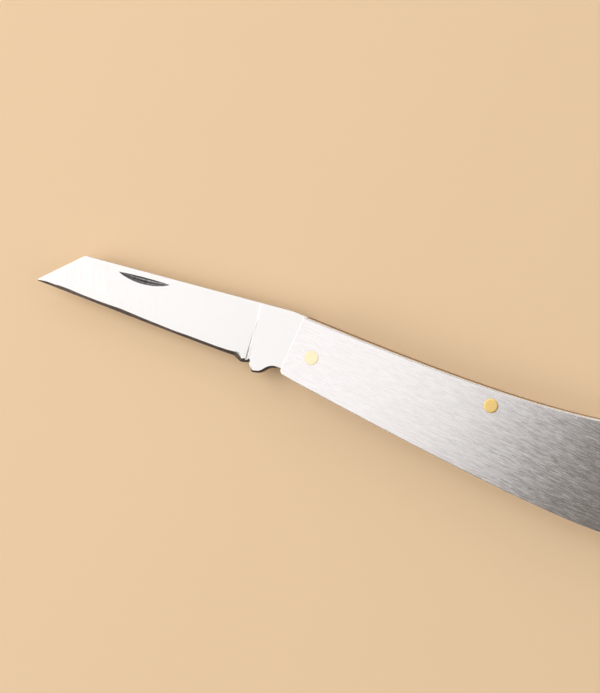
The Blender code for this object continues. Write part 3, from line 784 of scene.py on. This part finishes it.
# The blade is two faces, the tang's two faces round the bore, and one wall along the whole outline.
# A face is four grids: edge to brow, brow to the nick's arc, across the nick, and up to the spine.
def bladePatches(b, rows, low, high, bore):
    tangHalf, mid = (high - low) / 2, (high + low) / 2
    spine, bottom, tang = bladePaths(b)
    xs, yLow, yTop = bladeColumns(b, spine, bottom)
    sharp = 1.0 - smooth(xs, *b["bevelEnd"])
    bevelSlope = (b["shoulderHalf"] - b["edgeHalf"]) / b["bevelWide"] / honedShare(b, xs)

    # Loop of the outline: along the edge, round the tang, up the shoulder and back along the spine
    shoulder = b["flatReach"] + rows["cap"][1:-1] * (yTop[-1] - b["flatReach"])
    shoulder = np.stack([np.full(len(shoulder), xs[-1]), shoulder], axis=-1)
    lowLine, topLine = np.stack([xs, yLow], axis=-1), np.stack([xs, yTop], axis=-1)
    loop = np.concatenate([lowLine, tang[1:], shoulder, topLine[:0:-1]])
    normal = outward(loop)
    inward = -normal[:len(xs)]

    # Half thickness: the ground face or, where the edge is sharp, the bevel's rise from it if that is less
    def half(x, y):
        bevel = b["edgeHalf"] + bevelSlope * inward[:, 1] * (y - yLow) + (1 - sharp) * b["bevelOff"]
        return np.minimum(faceHalf(b, tangHalf, x, y), bevel)

    # Rims: rounder at the kick, and none at the shoulder or along the sharpened edge
    ending = smooth(-xs, -xs[-1], b["rimFade"] - xs[-1])
    topRim = np.minimum(b["spineRim"], b["spineRimMost"] * half(xs, yTop)) * ending
    onKick = smooth(xs, *b["kickRise"]) * (1 - smooth(xs, *b["kickFade"]))
    inChoil = window(xs, b["choilPaintedShadeSpan"])
    lowRim = b["tangRim"] + (b["kickRim"] - b["tangRim"]) * onKick + (b["choilRim"] - b["tangRim"]) * inChoil
    lowRim = np.minimum(lowRim, b["lowRimMost"] * half(xs, yLow)) * (1 - sharp) * ending
    hidden = np.zeros(len(tang) - 1 + len(shoulder))
    ease = np.concatenate([lowRim, hidden, topRim[:0:-1]])
    inset = loop - ease[:, None] * normal
    edge, top = inset[:len(xs)], np.concatenate([inset[:1], inset[:-len(xs):-1]])

    # Brow: where the bevel's rise meets the ground face, as far as the column is tall
    foot, slope = groundHalf(b, tangHalf, xs)
    width = (foot + slope * edge[:, 1] - b["edgeHalf"]) / (bevelSlope - inward[:, 1] * slope)
    width = np.clip(width, 0.0, b["bevelMost"] * (yTop - yLow)) * sharp
    brow = edge + width[:, None] * inward
    lower, upper, nickWidth = nickRims(b, xs, brow, top)

    spans = [(edge, brow, rows["bevel"]), (brow, lower, rows["face"]), (lower, upper, rows["nick"]),
             (upper, top, rows["cap"])]
    flat = [start + share[:, None, None] * (end - start) for start, end, share in spans]
    heights = [half(f[..., 0], f[..., 1]) for f in flat]
    edgeHeight = half(edge[:, 0], edge[:, 1]) * (1 - sharp) + b["edgeHalf"] * sharp
    heights[0] = edgeHeight + rows["bevel"][:, None] * (heights[0][-1] - edgeHeight)
    marks = bladeMarks(b, rows, xs, flat, heights[1], sharp, nickWidth)

    # The nick is on the mark side alone, with a wall along its upper rim
    patches = []
    for side in (1.0, -1.0):
        sunk = list(heights)
        if side > 0:
            sunk[2] = heights[2] - nickDepth(b, nickWidth, rows["nick"][:, None])
            wall = np.stack([sunk[2][-1], heights[3][0]])
            wallMark = np.zeros(wall.shape + (2,))
            wallMark[0, :, 1] = nickWidth > 0
            patches.append((withHeight(np.stack([upper, upper]), mid + wall), False, wallMark))
        for f, h, m in zip(flat, sunk, marks):
            patches.append((withHeight(f, mid + side * h), False, m * (1.0, side > 0)))
        zone = np.concatenate([tang, flat[1][-2:0:-1, -1]])
        face, circle = ringPatch(zone, zone, *bore, mid + side * tangHalf)
        patches.append((face, True, plain))
    patches.append(boreWall(circle, low, high))
    rimHeight = np.concatenate([edgeHeight, hidden + tangHalf, heights[3][-1][:0:-1]])
    # The wall along the edge takes the edge row's painted shade, dark also under the kick
    edgeMark = np.zeros((len(loop), 2))
    edgeMark[:len(xs)] = marks[0][0]
    patches.append((wallPatch(loop, normal, ease, ease, mid + rimHeight, mid - rimHeight), True, edgeMark))
    return patches


makePiece("lambfootBlade", bladePatches(blade, rowShares, *heightsOf("blade"), bores[0]), "blade", "blade",
          bladeSteel, bladeTurn, sharp=50.0)
print("blade made")


# Floor, light and camera, in metres

floor = dict(size=6.0, height=-0.0001, colour=(0.93, 0.69, 0.445), rough=0.9, gloss=0.1)


def floorPiece(f):
    half, z = f["size"] / 2, f["height"]
    mesh = bpy.data.meshes.new("floor")
    corners = [(-half, -half, z), (half, -half, z), (half, half, z), (-half, half, z)]
    mesh.from_pydata(corners, [], [(0, 1, 2, 3)])
    made = bpy.data.materials.new("plainFloor")
    made.use_nodes = True
    shader = made.node_tree.nodes["Principled BSDF"]
    shader.inputs["Base Color"].default_value = (*f["colour"], 1.0)
    shader.inputs["Roughness"].default_value = f["rough"]
    shader.inputs["Specular IOR Level"].default_value = f["gloss"]
    mesh.materials.append(made)
    piece = bpy.data.objects.new("floor", mesh)
    bpy.context.scene.collection.objects.link(piece)


floorPiece(floor)


# A rectangular lamp that faces its target; glow is the brightness of its face, so power = glow * pi * area
def softbox(name, place, target, size, glow, roll=0.0):
    data = bpy.data.lights.new(name, "AREA")
    data.shape = "RECTANGLE"
    data.size, data.size_y = size
    data.energy = glow * math.pi * size[0] * size[1]
    lamp = bpy.data.objects.new(name, data)
    lamp.location = place
    lamp.rotation_mode = "QUATERNION"
    aim = (Vector(target) - Vector(place)).to_track_quat("-Z", "Y")
    lamp.rotation_quaternion = aim @ Quaternion((0.0, 0.0, 1.0), roll)
    bpy.context.scene.collection.objects.link(lamp)


# The key hangs over the knife: a wide panel, then strips whose glow follows fall, (offset, share of glow).
# The blade mirrors its bright part, and the brushed handle the strips, as a slow fall from pale to dark.
key = dict(
    edge=(-0.10, -0.065), lean=26.0, height=1.0, wide=0.64, below=0.44, above=0.5, strips=16, glow=1.18,
    fall=((-0.34, 0.83), (-0.30, 0.875), (-0.22, 0.985), (-0.16, 1.005), (-0.12, 0.99), (-0.09, 0.955),
          (-0.06, 0.87), (-0.025, 0.765), (-0.005, 0.62), (0.02, 0.30), (0.035, 0.08), (0.05, 0.0)),
)


def keyLamp(k):
    lean = math.radians(k["lean"])
    across, along = np.array((math.cos(lean), -math.sin(lean))), np.array((math.sin(lean), math.cos(lean)))
    length, middle = k["below"] + k["above"], (k["above"] - k["below"]) / 2
    start, end = k["fall"][0][0], k["fall"][-1][0]
    step = (end - start) / k["strips"]
    offsets = np.concatenate([[start - k["wide"] / 2], start + (np.arange(k["strips"]) + 0.5) * step])
    widths = [k["wide"]] + [step] * k["strips"]
    for i, (offset, width) in enumerate(zip(offsets, widths)):
        x, y = np.array(k["edge"]) + offset * across + middle * along
        glow = k["glow"] * float(np.interp(offset, *np.transpose(k["fall"])))
        softbox(f"key{i}", (x, y, k["height"]), (x, y, 0.0), (width, length), glow, -lean)


keyLamp(key)
fills = dict(
    backFill=dict(place=(-0.1, 1.9, 0.75), target=(0.0, 0.0, 0.0), size=(2.6, 1.1), glow=1.0),
    leftFill=dict(place=(-1.6, -0.1, 0.85), target=(0.0, 0.0, 0.0), size=(3.2, 1.9), glow=2.2),
    rightFill=dict(place=(1.35, 0.3, 1.15), target=(0.0, 0.0, 0.0), size=(2.6, 1.7), glow=0.6),
)
for name, lamp in fills.items():
    softbox(name, **lamp)

# Dim warm air all round; mirrors also see pale studio walls, which fade out between two heights of a ray
studio = dict(
    air=(1.0, 0.88, 0.74), airGlow=0.16,
    walls=(1.0, 0.97, 0.94), wallGlow=0.5, wallFull=0.5, wallTop=0.84,
)


def studioWorld(s):
    world = bpy.data.worlds.new("studio")
    world.use_nodes = True
    bpy.context.scene.world = world
    tree = world.node_tree
    air = tree.nodes["Background"]
    air.inputs["Color"].default_value = (*s["air"], 1.0)
    air.inputs["Strength"].default_value = s["airGlow"]
    walls = addNode(tree, "ShaderNodeBackground", Color=(*s["walls"], 1.0), Strength=s["wallGlow"])
    ray = addNode(tree, "ShaderNodeSeparateXYZ")
    tree.links.new(addNode(tree, "ShaderNodeTexCoord").outputs["Generated"], ray.inputs["Vector"])
    low = spread(tree, ray.outputs["Z"], 1.0, 0.0, s["wallFull"], s["wallTop"])
    mirrored = mathNode(tree, "MULTIPLY", low, addNode(tree, "ShaderNodeLightPath").outputs["Is Glossy Ray"])
    both = addNode(tree, "ShaderNodeMixShader")
    for value, socket in zip((mirrored, air.outputs["Background"], walls.outputs["Background"]), both.inputs):
        tree.links.new(value, socket)
    tree.links.new(both.outputs["Shader"], tree.nodes["World Output"].inputs["Surface"])


studioWorld(studio)

# The camera leans over the butt; it is placed so that the pivot pin lands on its pixel of the picture.
# focal is in pixels and depth, the pin's distance along the view, in millimetres.
shot = dict(width=600, height=693, focal=1856.4, depth=439.69, tilt=16.0, turn=14.332, lean=(0.997, 0.08),
            pivotPixel=(311.4, 357.8), sensor=36.0, clipStart=0.01)


def placeCamera(c):
    turn, tilt = math.radians(c["turn"]), math.radians(c["tilt"])
    across = Vector((math.cos(turn), math.sin(turn), 0.0))
    down = Vector((math.sin(turn), -math.cos(turn), 0.0))
    towards = (c["lean"][0] * across + c["lean"][1] * down).normalized()
    back = math.sin(tilt) * towards + math.cos(tilt) * Vector((0.0, 0.0, 1.0))
    right = (across - across.dot(back) * back).normalized()
    up = back.cross(right)
    offRight = (c["pivotPixel"][0] - c["width"] / 2) / c["focal"]
    offDown = (c["pivotPixel"][1] - c["height"] / 2) / c["focal"]
    ray = -back + offRight * right - offDown * up
    face = Vector((*bores[0][0], heightsOf("mark_side_scale")[1])) * mm
    data = bpy.data.cameras.new("camera")
    data.sensor_width = c["sensor"]
    data.lens = data.sensor_width * c["focal"] / c["height"]
    data.clip_start = c["clipStart"]
    camera = bpy.data.objects.new("camera", data)
    turned = Matrix((right, up, back)).transposed().to_4x4()
    camera.matrix_world = Matrix.Translation(face - ray * c["depth"] * mm) @ turned
    bpy.context.scene.collection.objects.link(camera)
    bpy.context.scene.camera = camera


placeCamera(shot)
bpy.context.scene.view_settings.view_transform = "Standard"
print("floor, light and camera placed")
